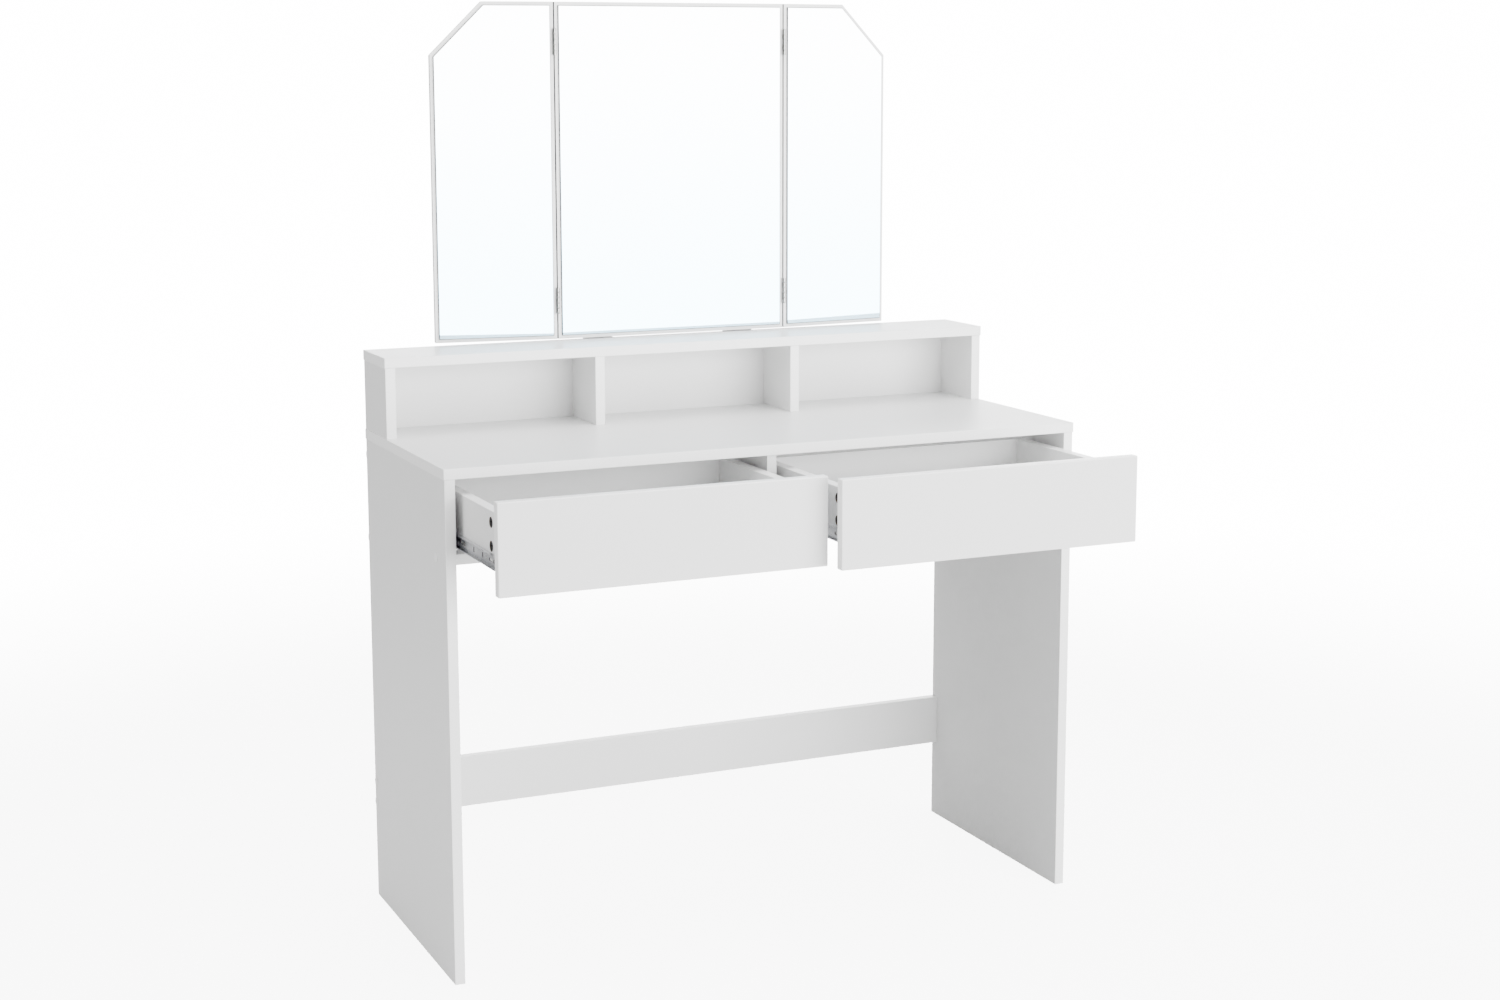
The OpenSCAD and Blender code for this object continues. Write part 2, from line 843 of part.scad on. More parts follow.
module wing_hinge_leaves() {
    mirror([1, 0, 0]) for (z = hinge_z) translate([0, 0, z - mirror_z])
        hinge_leaf([1, 3], pin_r + pin_clearance);
}

module wing_hinge_screws() {
    mirror([1, 0, 0]) for (z = hinge_z) translate([0, 0, z - mirror_z]) hinge_screws();
}

module left_wing(back) {
    translate([hinge_x, hinge_y, mirror_z]) rotate([0, 0, -back]) children();
}

module right_wing(back) {
    mirrored() left_wing(back) children();
}

at_origin() {
    left_side_panel();
    right_side_panel();
    tabletop();
    centre_partition();
    front_rail();
    rear_panel();
    crossbar();
    hutch_left_side();
    hutch_right_side();
    hutch_left_divider();
    hutch_right_divider();
    hutch_back_panel();
    hutch_top();
    left_batten();
    right_batten();
    centre_mirror_board();
    centre_mirror_glass();
    left_drawer_runners();
    right_drawer_runners();
    runner_screws();
    centre_hinge_leaves();
    hinge_pins();
    centre_hinge_screws();
    panel_cam_locks();
    panel_cam_bolts();
    panel_dowels();
    end_screws();
    screw_caps();
    tabletop_screws();
    batten_screws();
    left_drawer(left_open) {
        drawer_front();  // left_drawer_front
        drawer_side();  // left_drawer_left_side
        across_box() drawer_side();  // left_drawer_right_side
        drawer_back();  // left_drawer_back
        drawer_bottom();  // left_drawer_bottom
        drawer_cam_locks();  // left_drawer_cam_locks
        drawer_cam_bolts();  // left_drawer_cam_bolts
        drawer_back_screws();  // left_drawer_back_screws
        drawer_slides();  // left_drawer_slides
        drawer_slide_screws();  // left_drawer_slide_screws
    }
    right_drawer(right_open) {
        drawer_front();  // right_drawer_front
        across_box() drawer_side();  // right_drawer_left_side
        drawer_side();  // right_drawer_right_side
        drawer_back();  // right_drawer_back
        drawer_bottom();  // right_drawer_bottom
        drawer_cam_locks();  // right_drawer_cam_locks
        drawer_cam_bolts();  // right_drawer_cam_bolts
        drawer_back_screws();  // right_drawer_back_screws
        drawer_slides();  // right_drawer_slides
        drawer_slide_screws();  // right_drawer_slide_screws
    }
    // A ball cage rolls half as far as its drawer
    left_drawer(left_open / 2) {
        drawer_ball_cages();  // left_drawer_ball_cages
    }
    right_drawer(right_open / 2) {
        drawer_ball_cages();  // right_drawer_ball_cages
    }
    left_wing(left_wing_back) {
        wing_board();  // left_wing_board
        wing_glass();  // left_wing_glass
        wing_hinge_leaves();  // left_wing_hinge_leaves
        wing_hinge_screws();  // left_wing_hinge_screws
    }
    right_wing(right_wing_back) {
        wing_board();  // right_wing_board
        wing_glass();  // right_wing_glass
        wing_hinge_leaves();  // right_wing_hinge_leaves
        wing_hinge_screws();  // right_wing_hinge_screws
    }
}
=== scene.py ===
"""Looks of a white vanity table with two drawers, a shelf box and a folding mirror.

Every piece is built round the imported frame: places come from the frame's boxes and from the
frame's own meshes, and each piece rides on the body that carries it.
"""

import json
import logging
import math
from dataclasses import dataclass
from enum import Enum
from typing import Iterable, Sequence

import bmesh
import bpy
from mathutils import Matrix, Vector


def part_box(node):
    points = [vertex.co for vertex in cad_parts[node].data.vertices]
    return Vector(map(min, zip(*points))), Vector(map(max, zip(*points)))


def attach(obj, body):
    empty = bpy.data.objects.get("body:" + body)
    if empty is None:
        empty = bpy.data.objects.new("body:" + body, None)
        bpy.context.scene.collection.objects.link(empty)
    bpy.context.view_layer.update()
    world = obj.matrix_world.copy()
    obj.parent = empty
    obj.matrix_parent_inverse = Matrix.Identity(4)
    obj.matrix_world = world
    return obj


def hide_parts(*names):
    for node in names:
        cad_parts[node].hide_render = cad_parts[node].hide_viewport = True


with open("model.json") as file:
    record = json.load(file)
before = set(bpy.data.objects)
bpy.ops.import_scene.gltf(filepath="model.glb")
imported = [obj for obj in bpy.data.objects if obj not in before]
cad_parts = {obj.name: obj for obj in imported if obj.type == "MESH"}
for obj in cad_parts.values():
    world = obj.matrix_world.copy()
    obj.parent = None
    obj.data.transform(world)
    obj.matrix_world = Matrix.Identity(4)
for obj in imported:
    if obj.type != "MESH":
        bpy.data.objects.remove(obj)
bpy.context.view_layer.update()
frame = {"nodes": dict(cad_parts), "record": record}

logging.basicConfig(level=logging.INFO, format="%(message)s")
LOG = logging.getLogger("vanity_table")

MM = 0.001
Triple = tuple[float, float, float]
RGB = Triple
Point = Triple
Stretch = Triple


# ---------------------------------------------------------------- shader maths


class Wire:
    """A number that varies over a surface, as the output socket of a node."""

    def __init__(self, graph: "Graph", socket: bpy.types.NodeSocket) -> None:
        """Keeps the socket and the graph that it belongs to."""
        self.graph = graph
        self.socket = socket

    def _maths(self, operation: str, *values: "Wire | float") -> "Wire":
        """Adds one Math node.

        Args:
            operation: name of the Math node's operation.
            values: its inputs in order.

        Returns:
            The result.
        """
        inputs = {index: value for index, value in enumerate(values)}
        return self.graph.node("ShaderNodeMath", {"operation": operation}, inputs)[0]

    def __add__(self, other: "Wire | float") -> "Wire":
        """self + other."""
        return self._maths("ADD", self, other)

    __radd__ = __add__

    def __mul__(self, other: "Wire | float") -> "Wire":
        """self * other."""
        return self._maths("MULTIPLY", self, other)

    __rmul__ = __mul__

    def __sub__(self, other: "Wire | float") -> "Wire":
        """self - other."""
        return self._maths("SUBTRACT", self, other)

    def __rsub__(self, other: "Wire | float") -> "Wire":
        """other - self."""
        return self._maths("SUBTRACT", other, self)

    def ramp(self, low: float, high: float) -> "Wire":
        """Rises smoothly from 0 at low to 1 at high.

        Args:
            low: value where the result starts to rise.
            high: value where the result reaches 1.

        Returns:
            The smooth step.
        """
        settings = {"interpolation_type": "SMOOTHSTEP"}
        inputs = {"Value": self, "From Min": low, "From Max": high}
        return self.graph.node("ShaderNodeMapRange", settings, inputs)["Result"]


class Outputs:
    """The output sockets of one node, by name or by number."""

    def __init__(self, graph: "Graph", made: bpy.types.Node) -> None:
        """Keeps the node."""
        self.graph = graph
        self.made = made

    def __getitem__(self, key: str | int) -> Wire:
        """The output of that name or number."""
        return Wire(self.graph, self.made.outputs[key])


class Graph:
    """The nodes of one material or world."""

    def __init__(self, tree: bpy.types.NodeTree) -> None:
        """Empties the tree, ready for new nodes."""
        self.tree = tree
        tree.nodes.clear()

    def node(self, kind: str, settings: dict | None = None, inputs: dict | None = None) -> Outputs:
        """Adds any node.

        Args:
            kind: the node's type.
            settings: its properties; "stops" holds the (place, colour) stops of a ramp.
            inputs: values or wires, by socket name or number.

        Returns:
            The node's outputs.
        """
        made = self.tree.nodes.new(kind)
        for name, value in (settings or {}).items():
            if name == "stops":
                self._set_stops(made, value)
            else:
                setattr(made, name, value)
        for name, value in (inputs or {}).items():
            if isinstance(value, Wire):
                self.tree.links.new(value.socket, made.inputs[name])
            else:
                made.inputs[name].default_value = value
        return Outputs(self, made)

    @staticmethod
    def _set_stops(made: bpy.types.Node, stops: Sequence[tuple[float, RGB]]) -> None:
        """Fills a colour ramp with its stops."""
        elements = made.color_ramp.elements
        while len(elements) < len(stops):
            elements.new(1.0)
        for element, (place, colour) in zip(elements, stops):
            element.position = place
            element.color = (*colour, 1.0)

    def place(self, scale: Sequence[float] = (1, 1, 1), turn: float = 0.0) -> Wire:
        """Object coordinates, stretched and turned about Z.

        Args:
            scale: how much a pattern shrinks along each axis.
            turn: angle about Z in radians.

        Returns:
            The coordinates.
        """
        coordinates = self.node("ShaderNodeTexCoord")["Object"]
        inputs = {"Vector": coordinates, "Scale": scale, "Rotation": (0.0, 0.0, turn)}
        return self.node("ShaderNodeMapping", {}, inputs)["Vector"]

    def noise(self, at: Wire, scale: float, detail: float = 2.0, rough: float = 0.5) -> Wire:
        """Smooth noise from 0 to 1.

        Args:
            at: coordinates.
            scale: lumps per metre.
            detail: number of finer layers.
            rough: strength of the finer layers.

        Returns:
            The noise's value.
        """
        inputs = {"Vector": at, "Scale": scale, "Detail": detail, "Roughness": rough}
        return self.node("ShaderNodeTexNoise", {}, inputs)["Fac"]

    def blend(self, share: Wire | float, first: RGB, second: RGB) -> Wire:
        """A colour between two colours.

        Args:
            share: 0 gives the first and 1 the second.
            first: a colour.
            second: a colour.

        Returns:
            The mixed colour.
        """
        stops = [(0.0, first), (1.0, second)]
        return self.node("ShaderNodeValToRGB", {"stops": stops}, {"Fac": share})["Color"]

    def bump(self, height: Wire, depth: float) -> Wire:
        """A normal that follows a height.

        Args:
            height: height of the relief, from 0 to 1.
            depth: what a height of 1 measures, in metres.

        Returns:
            The bent normal.
        """
        inputs = {"Height": height, "Distance": depth, "Strength": 1.0}
        return self.node("ShaderNodeBump", {}, inputs)["Normal"]

    def surface(self, inputs: dict) -> None:
        """Ends the graph in one Principled shader with these inputs."""
        shader = self.node("ShaderNodeBsdfPrincipled", {}, inputs)["BSDF"]
        self.node("ShaderNodeOutputMaterial", {}, {"Surface": shader})


# ---------------------------------------------------------------- finishes


def around(share: Wire, middle: float, spread: float) -> Wire:
    """Spreads a 0 to 1 pattern evenly around a middle value.

    Args:
        share: the pattern.
        middle: value where the pattern is 0.5.
        spread: difference between its ends.

    Returns:
        The value.
    """
    return share * spread + (middle - 0.5 * spread)


@dataclass(frozen=True)
class Finish:
    """A finish that makes one material and keeps it."""

    name: str

    def material(self) -> bpy.types.Material:
        """Returns the finish's material, made the first time that it is asked for."""
        found = bpy.data.materials.get(self.name)
        if found:
            return found
        made = bpy.data.materials.new(self.name)
        made.use_nodes = True
        self.fill(Graph(made.node_tree))
        return made

    def fill(self, graph: Graph) -> None:
        """Adds the finish's nodes."""
        raise NotImplementedError


@dataclass(frozen=True)
class Melamine(Finish):
    """Satin paper-and-resin facing: a faint mottle, fine orange peel and rubbed patches."""

    tone: RGB = (0.79, 0.79, 0.785)
    shade: RGB = (0.76, 0.763, 0.763)
    gloss: float = 0.36
    gloss_spread: float = 0.14
    mottle_scale: float = 9.0
    speck_scale: float = 420.0
    rub_scale: float = 28.0
    peel_scale: float = 1400.0
    ripple_scale: float = 252.0
    peel_depth: float = 0.012 * MM

    def fill(self, graph: Graph) -> None:
        """Adds the mottled colour, the uneven gloss and the orange peel."""
        at = graph.place()
        mottle = graph.noise(at, self.mottle_scale, 3.0)
        speck = graph.noise(at, self.speck_scale, 1.0)
        rubbed = graph.noise(at, self.rub_scale, 4.0, 0.6)
        peel = graph.noise(at, self.peel_scale, 1.5)
        ripple = graph.noise(at, self.ripple_scale, 1.0)
        graph.surface({
            "Base Color": graph.blend(mottle * 0.75 + speck * 0.25, self.shade, self.tone),
            "Roughness": around(rubbed, self.gloss, self.gloss_spread),
            "Normal": graph.bump(peel * 0.7 + ripple * 0.3, self.peel_depth),
            "Specular IOR Level": 0.45,
        })


@dataclass(frozen=True)
class EdgeBand(Finish):
    """Edge banding: a plastic strip with fine rolling lines along it and tiny chatter marks; its
    tone, well above the board's, is partly the strip's own white and partly a painted highlight.
    """

    # These tones sit well above the board's, partly as a painted highlight along the edges.
    tone: RGB = (0.95, 0.95, 0.945)
    shade: RGB = (0.91, 0.912, 0.91)
    gloss: float = 0.3
    gloss_spread: float = 0.12
    roll: Stretch = (60.0, 900.0, 60.0)
    chatter_scale: float = 700.0
    relief: float = 0.01 * MM

    def fill(self, graph: Graph) -> None:
        """Adds the rolling lines and the chatter."""
        lines = graph.noise(graph.place(self.roll), 3.0, 2.0)
        chatter = graph.noise(graph.place(), self.chatter_scale, 2.0)
        graph.surface({
            "Base Color": graph.blend(lines * 0.6 + chatter * 0.4, self.shade, self.tone),
            "Roughness": around(chatter, self.gloss, self.gloss_spread),
            "Normal": graph.bump(lines * 0.5 + chatter * 0.5, self.relief),
            "Specular IOR Level": 0.5,
        })


@dataclass(frozen=True)
class Chipboard(Finish):
    """Chipboard inside a drilled hole: flakes of pale and dark wood, darker than raw chipboard as
    painted shade of the hole.
    """

    pale: RGB = (0.2, 0.165, 0.125)
    dark: RGB = (0.07, 0.055, 0.04)
    flake_scale: float = 900.0
    dust_scale: float = 300.0
    relief: float = 0.2 * MM

    def fill(self, graph: Graph) -> None:
        """Adds the flakes."""
        at = graph.place()
        inputs = {"Vector": at, "Scale": self.flake_scale}
        cells = graph.node("ShaderNodeTexVoronoi", {}, inputs)["Distance"]
        flakes = cells * 0.8 + graph.noise(at, self.dust_scale, 3.0) * 0.5
        graph.surface({
            "Base Color": graph.blend(flakes, self.dark, self.pale),
            "Roughness": flakes * 0.1 + 0.78,
            "Normal": graph.bump(flakes, self.relief),
        })


@dataclass(frozen=True)
class Silvering(Finish):
    """Silvered float glass with a painted reflection that runs bluer towards its foot, and the
    faintest wipe marks.
    """

    # Painted reflection: the colour runs from the foot tint to the head tint with height.
    head_painted_reflection: RGB = (0.97, 0.985, 1.0)
    foot_painted_reflection: RGB = (0.6, 0.84, 1.0)
    foot: float = 0.85
    head: float = 1.36
    wipe: Stretch = (3.0, 3.0, 14.0)
    wipe_turn: float = 0.4
    wave_scale: float = 4.0
    wave_depth: float = 0.02 * MM

    def fill(self, graph: Graph) -> None:
        """Adds the mirror, its painted reflection by height, its wipe marks and its waviness."""
        at = graph.place()
        height = graph.node("ShaderNodeSeparateXYZ", {}, {0: at})["Z"]
        wipes = graph.noise(graph.place(self.wipe, self.wipe_turn), 2.0, 4.0, 0.6)
        # Mostly painted reflection by height, with a little of the wipe marks.
        rise = height.ramp(self.foot, self.head) * 0.94 + wipes * 0.06
        graph.surface({
            "Base Color": graph.blend(rise, self.foot_painted_reflection, self.head_painted_reflection),
            "Metallic": 1.0,
            "Roughness": wipes.ramp(0.45, 0.8) * 0.02 + 0.015,
            "Normal": graph.bump(graph.noise(at, self.wave_scale, 0.0), self.wave_depth),
        })


@dataclass(frozen=True)
class GlassEdge(Finish):
    """The ground rim of a sheet of float glass: grey-green, with a fine matt grind."""

    tone: RGB = (0.06, 0.07, 0.07)
    shade: RGB = (0.025, 0.03, 0.03)
    grind_scale: float = 1100.0
    relief: float = 0.01 * MM

    def fill(self, graph: Graph) -> None:
        """Adds the grind."""
        grind = graph.noise(graph.place(), self.grind_scale, 2.0)
        graph.surface({
            "Base Color": graph.blend(grind, self.shade, self.tone),
            "Roughness": grind * 0.2 + 0.18,
            "Normal": graph.bump(grind, self.relief),
            "Specular IOR Level": 0.6,
        })


@dataclass(frozen=True)
class Plating(Finish):
    """Plated steel, with rolling lines along one axis and a cloudy colour."""

    bright: RGB = (0.74, 0.75, 0.77)
    dull: RGB = (0.56, 0.57, 0.59)
    gloss: float = 0.28
    lines: Stretch = (400.0, 12.0, 400.0)
    relief: float = 0.01 * MM
    cloud_scale: float = 110.0

    def fill(self, graph: Graph) -> None:
        """Adds the rolling lines and the clouding of the plate."""
        rolled = graph.noise(graph.place(self.lines), 3.0, 3.0)
        cloud = graph.noise(graph.place(), self.cloud_scale, 3.0, 0.6)
        graph.surface({
            "Base Color": graph.blend(rolled * 0.5 + cloud * 0.5, self.dull, self.bright),
            "Metallic": 1.0,
            "Roughness": rolled * 0.16 + cloud * 0.12 + (self.gloss - 0.12),
            "Normal": graph.bump(rolled, self.relief),
        })


@dataclass(frozen=True)
class Moulded(Finish):
    """Moulded plastic with a fine spark-eroded texture."""

    tone: RGB = (0.87, 0.87, 0.865)
    shade: RGB = (0.84, 0.84, 0.838)
    gloss: float = 0.4
    gloss_spread: float = 0.12
    flow_scale: float = 60.0
    texture_scale: float = 2600.0
    relief: float = 0.02 * MM

    def fill(self, graph: Graph) -> None:
        """Adds the texture."""
        at = graph.place()
        texture = graph.noise(at, self.texture_scale, 2.0)
        graph.surface({
            "Base Color": graph.blend(graph.noise(at, self.flow_scale, 2.0), self.shade, self.tone),
            "Roughness": around(texture, self.gloss, self.gloss_spread),
            "Normal": graph.bump(texture, self.relief),
        })


@dataclass(frozen=True)
class Beech(Finish):
    """Turned beech: short brown flecks along the grain."""

    pale: RGB = (0.56, 0.38, 0.22)
    fleck: RGB = (0.34, 0.2, 0.1)
    grain_lines: Stretch = (500.0, 500.0, 40.0)
    fleck_lines: Stretch = (900.0, 900.0, 90.0)
    relief: float = 0.04 * MM

    def fill(self, graph: Graph) -> None:
        """Adds the grain and the flecks."""
        grain = graph.noise(graph.place(self.grain_lines), 2.0, 4.0, 0.6)
        flecks = graph.noise(graph.place(self.fleck_lines), 1.5, 1.0).ramp(0.6, 0.75)
        graph.surface({
            "Base Color": graph.blend(grain * 0.7 + flecks * 0.3, self.pale, self.fleck),
            "Roughness": grain * 0.15 + 0.55,
            "Normal": graph.bump(grain, self.relief),
        })


@dataclass(frozen=True)
class Lacquered(Finish):
    """Lacquered hardboard: a white film over the faint cloth mark of the press."""

    tone: RGB = (0.85, 0.85, 0.845)
    shade: RGB = (0.81, 0.812, 0.81)
    film_scale: float = 40.0
    across_lines: Stretch = (900.0, 30.0, 30.0)
    along_lines: Stretch = (30.0, 900.0, 30.0)
    relief: float = 0.03 * MM

    def fill(self, graph: Graph) -> None:
        """Adds the press cloth's crossed lines and a cloudy film."""
        film = graph.noise(graph.place(), self.film_scale, 3.0)
        across = graph.noise(graph.place(self.across_lines), 1.0, 1.0)
        along = graph.noise(graph.place(self.along_lines), 1.0, 1.0)
        graph.surface({
            "Base Color": graph.blend(film, self.shade, self.tone),
            "Roughness": film * 0.15 + 0.42,
            "Normal": graph.bump(across * 0.5 + along * 0.5, self.relief),
        })


@dataclass(frozen=True)
class Paper(Finish):
    """The studio floor: a seamless pale paper that fades out towards its rim."""

    tone: RGB = (0.9, 0.9, 0.9)
    shade: RGB = (0.8865, 0.8865, 0.8865)
    tooth_scale: float = 300.0
    fade_from: float = 1.3
    fade_to: float = 3.4
    cover: float = 0.5

    def fill(self, graph: Graph) -> None:
        """Adds the paper and its fade."""
        at = graph.place()
        length = graph.node("ShaderNodeVectorMath", {"operation": "LENGTH"}, {0: at})["Value"]
        graph.surface({
            "Base Color": graph.blend(graph.noise(at, self.tooth_scale, 2.0), self.shade, self.tone),
            "Roughness": 0.9,
            "Specular IOR Level": 0.1,
            "Alpha": (1.0 - length.ramp(self.fade_from, self.fade_to)) * self.cover,
        })


BOARD = Melamine("white_melamine")
# Edge band whiter than the board: partly its own white, partly a painted highlight along the edges.
BAND_AND_EDGE_HIGHLIGHT = EdgeBand("white_edge_band_and_painted_highlight")
FRAME_BOARD = Melamine("bright_melamine", tone=(0.94, 0.94, 0.935), shade=(0.91, 0.912, 0.91))
# Painted shade: dark melamine on the board edges beside the hinges stands in for the shade in the
# narrow gap.
HINGE_GAP_PAINTED_SHADE = Melamine("painted_hinge_gap_shade", tone=(0.2, 0.2, 0.2), shade=(0.15, 0.15, 0.15), gloss=0.6)
# Painted shade: the hole walls are chipboard darkened to stand in for the shade inside the holes.
CHIPS_IN_PAINTED_SHADE = Chipboard("chipboard_in_painted_shade")
# Mirror whose colour carries a painted reflection, bluer towards its foot.
MIRROR_WITH_PAINTED_REFLECTION = Silvering("silvered_glass_with_painted_reflection")
RIM = GlassEdge("ground_glass_rim")
ZINC = Plating("zinc_plated_strip")
NICKEL = Plating(
    "nickel_plate", bright=(0.5, 0.5, 0.49), dull=(0.3, 0.3, 0.3), gloss=0.2,
    lines=(300.0, 300.0, 30.0), relief=0.004 * MM)
SCREW = Plating(
    "zinc_screw", bright=(0.5, 0.5, 0.49), dull=(0.34, 0.34, 0.33), gloss=0.26,
    lines=(250.0, 250.0, 250.0), relief=0.008 * MM)
# Dark finish of the cams, also painted onto the slot walls of rolled strips as painted shade.
DARK_CAMS_AND_SLOT_SHADE = Plating(
    "dark_cams_and_painted_slot_shade", bright=(0.1, 0.1, 0.105), dull=(0.04, 0.04, 0.042), gloss=0.46,
    lines=(350.0, 350.0, 350.0), relief=0.03 * MM)
CAP = Moulded("white_cap_plastic")
DOWEL = Beech("beech_dowel")
HARDBOARD = Lacquered("lacquered_hardboard")


# ---------------------------------------------------------------- mesh tools

WELD = 0.002 * MM
FLAT_ANGLE = math.radians(0.4)
SMOOTH_ANGLE = math.radians(35)
CORNER_ANGLE = math.radians(20)
SHARP_ANGLE = math.radians(50)
OUTSIDE_SLACK = 0.01 * MM


def body_of_node(node: str) -> str:
    """Returns the body that carries a node of the frame."""
    bodies = frame["record"]["behaviour"]["bodies"]
    return next(body for body, members in bodies.items() if node in members)


def merged_copy(node: str) -> bmesh.types.BMesh:
    """A node's mesh with its loose triangles merged into whole flat faces.

    Args:
        node: the node's name in the frame.

    Returns:
        A new mesh to work on.
    """
    mesh = bmesh.new()
    mesh.from_mesh(frame["nodes"][node].data)
    bmesh.ops.remove_doubles(mesh, verts=mesh.verts, dist=WELD)
    bmesh.ops.dissolve_limit(
        mesh, angle_limit=FLAT_ANGLE, use_dissolve_boundaries=False,
        verts=mesh.verts, edges=mesh.edges, delimit=set())
    mesh.normal_update()
    mesh.faces.index_update()
    return mesh


def crease(mesh: bmesh.types.BMesh) -> None:
    """Marks every edge that turns too far to be shaded smooth as a hard edge."""
    for edge in mesh.edges:
        edge.smooth = len(edge.link_faces) == 2 and edge.calc_face_angle(0.0) < SMOOTH_ANGLE


def to_piece(mesh: bmesh.types.BMesh, name: str, finishes: Sequence[Finish],
             node: str) -> bpy.types.Object:
    """Turns a finished mesh into a piece that stands for a node and rides on its body.

    Args:
        mesh: the mesh, which is freed.
        name: the piece's name.
        finishes: one finish for each material number that the faces use.
        node: the node that the piece stands for.

    Returns:
        The piece.
    """
    data = bpy.data.meshes.new(name)
    mesh.to_mesh(data)
    mesh.free()
    for finish in finishes:
        data.materials.append(finish.material())
    piece = bpy.data.objects.new(name, data)
    bpy.context.scene.collection.objects.link(piece)
    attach(piece, body_of_node(node))
    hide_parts(node)
    LOG.info("%s: %d faces on %s", name, len(data.polygons), body_of_node(node))
    return piece


def outer_edges(mesh: bmesh.types.BMesh, shortest: float) -> list[bmesh.types.BMEdge]:
    """The long edges on the outside of a board: the whole mesh lies behind both of their faces.

    Args:
        mesh: the board.
        shortest: edges shorter than this, in metres, are left out.

    Returns:
        The edges.
    """
    points = [vert.co.copy() for vert in mesh.verts]
    outside: dict[int, bool] = {}
    for face in mesh.faces:
        origin, normal = face.verts[0].co, face.normal
        outside[face.index] = all((point - origin).dot(normal) < OUTSIDE_SLACK for point in points)
    return [
        edge for edge in mesh.edges
        if len(edge.link_faces) == 2 and edge.calc_length() > shortest
        and edge.calc_face_angle(0.0) > CORNER_ANGLE
        and all(outside[face.index] for face in edge.link_faces)
    ]


def sharp_edges(mesh: bmesh.types.BMesh) -> list[bmesh.types.BMEdge]:
    """The edges that stick out and are sharp."""
    return [
        edge for edge in mesh.edges
        if edge.is_convex and edge.calc_face_angle(0.0) > SHARP_ANGLE
    ]


def islands(mesh: bmesh.types.BMesh) -> list[list[bmesh.types.BMFace]]:
    """The separate shells of a mesh, each as a list of its faces."""
    left = set(mesh.faces)
    found = []
    while left:
        shell, waiting = [], [left.pop()]
        while waiting:
            face = waiting.pop()
            shell.append(face)
            for near in {other for edge in face.edges for other in edge.link_faces}:
                if near in left:
                    left.remove(near)
                    waiting.append(near)
        found.append(shell)
    return found


def round_edges(mesh: bmesh.types.BMesh, edges: Iterable[bmesh.types.BMEdge], radius: float,
                segments: int, clamp: bool = False) -> set[bmesh.types.BMFace]:
    """Rounds edges.

    Args:
        mesh: the mesh.
        edges: its edges to round.
        radius: radius of the rounding in metres.
        segments: faces across the rounding.
        clamp: makes the radius smaller where roundings would meet.

    Returns:
        The faces of the rounding.
    """
    made = bmesh.ops.bevel(
        mesh, geom=list(edges), offset=radius, offset_type="OFFSET", segments=segments,
        profile=0.5, affect="EDGES", clamp_overlap=clamp, material=-1)
    mesh.normal_update()
    return set(made["faces"])


# ---------------------------------------------------------------- boards


class Grain(Enum):
    """What a face of a board is: a wide face, a banded edge, a hole's wall or an edge beside a hinge
    that is painted dark as painted shade of the gap.
    """

    WIDE = 0
    NARROW = 1
    DRILLED = 2
    HINGE_GAP_SHADE = 3


@dataclass
class Boards:
    """Coated boards with an edge band and slightly rounded edges.

    A face smaller than hole_face, in square metres, is part of a drilled hole. The upright edges
    that look into the gap at a hinge are painted dark as painted shade of the gap, from hinge_rise
    below the lowest pin upwards.
    """

    edge_radius: float = 0.7 * MM
    front_radius: float = 1.6 * MM
    edge_segments: int = 3
    shortest_edge: float = 9.0 * MM
    hole_face: float = 45e-6
    along: float = 0.9
    pin_width: float = 2.4 * MM
    hinge_reach: float = 3.0 * MM
    hinge_rise: float = 60.0 * MM

    def beside_hinge(self, face: bmesh.types.BMFace) -> bool:
        """Tells whether a face is an upright edge that looks into the gap at a hinge."""
        centre = face.calc_center_median()
        return abs(face.normal.x) > self.along and any(
            low.x - self.hinge_reach < centre.x < high.x + self.hinge_reach
            and centre.z > low.z - self.hinge_rise for low, high in self.hinge_gaps())

    def hinge_gaps(self) -> list[tuple[Vector, Vector]]:
        """The boxes of the left and the right hinge pins."""
        low, high = (Vector(corner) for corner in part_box("hinge_pins"))
        width = Vector((self.pin_width, 0.0, 0.0))
        return [
            (low, Vector((low.x, high.y, high.z)) + width),
            (Vector((high.x, low.y, low.z)) - width, high),
        ]

    def sort_faces(self, mesh: bmesh.types.BMesh, rounded: set) -> None:
        """Gives each face its material number and its shading.

        Args:
            mesh: the board.
            rounded: faces of its rounded edges.
        """
        widest = max(mesh.faces, key=lambda face: face.calc_area()).normal.copy()
        for face in mesh.faces:
            small = face.calc_area() < self.hole_face
            # Upright edges beside a hinge get the painted shade of the gap.
            if self.beside_hinge(face):
                face.material_index = Grain.HINGE_GAP_SHADE.value
            elif face in rounded:
                face.material_index = Grain.NARROW.value
            elif small:
                face.material_index = Grain.DRILLED.value
            elif abs(face.normal.dot(widest)) > self.along:
                face.material_index = Grain.WIDE.value
            else:
                face.material_index = Grain.NARROW.value
            face.smooth = small or face in rounded

    def build(self, node: str) -> bpy.types.Object:
        """Builds the board of one node.

        Args:
            node: the node's name.

        Returns:
            The board.
        """
        mesh = merged_copy(node)
        edges = outer_edges(mesh, self.shortest_edge)
        radius = self.front_radius if node.endswith("drawer_front") else self.edge_radius
        rounded = round_edges(mesh, edges, radius, self.edge_segments)
        crease(mesh)
        self.sort_faces(mesh, rounded)
        facing = FRAME_BOARD if "mirror_board" in node or "wing_board" in node else BOARD
        return to_piece(mesh, f"{node}_coated", (facing, BAND_AND_EDGE_HIGHLIGHT, CHIPS_IN_PAINTED_SHADE, HINGE_GAP_PAINTED_SHADE), node)

    def build_all(self) -> None:
        """Builds every board of the table, the drawers and the mirror."""
        for row in frame["record"]["subparts"]:
            if row["material_slot"] == "white_board":
                self.build(row["node"])


# ---------------------------------------------------------------- drawer bottoms


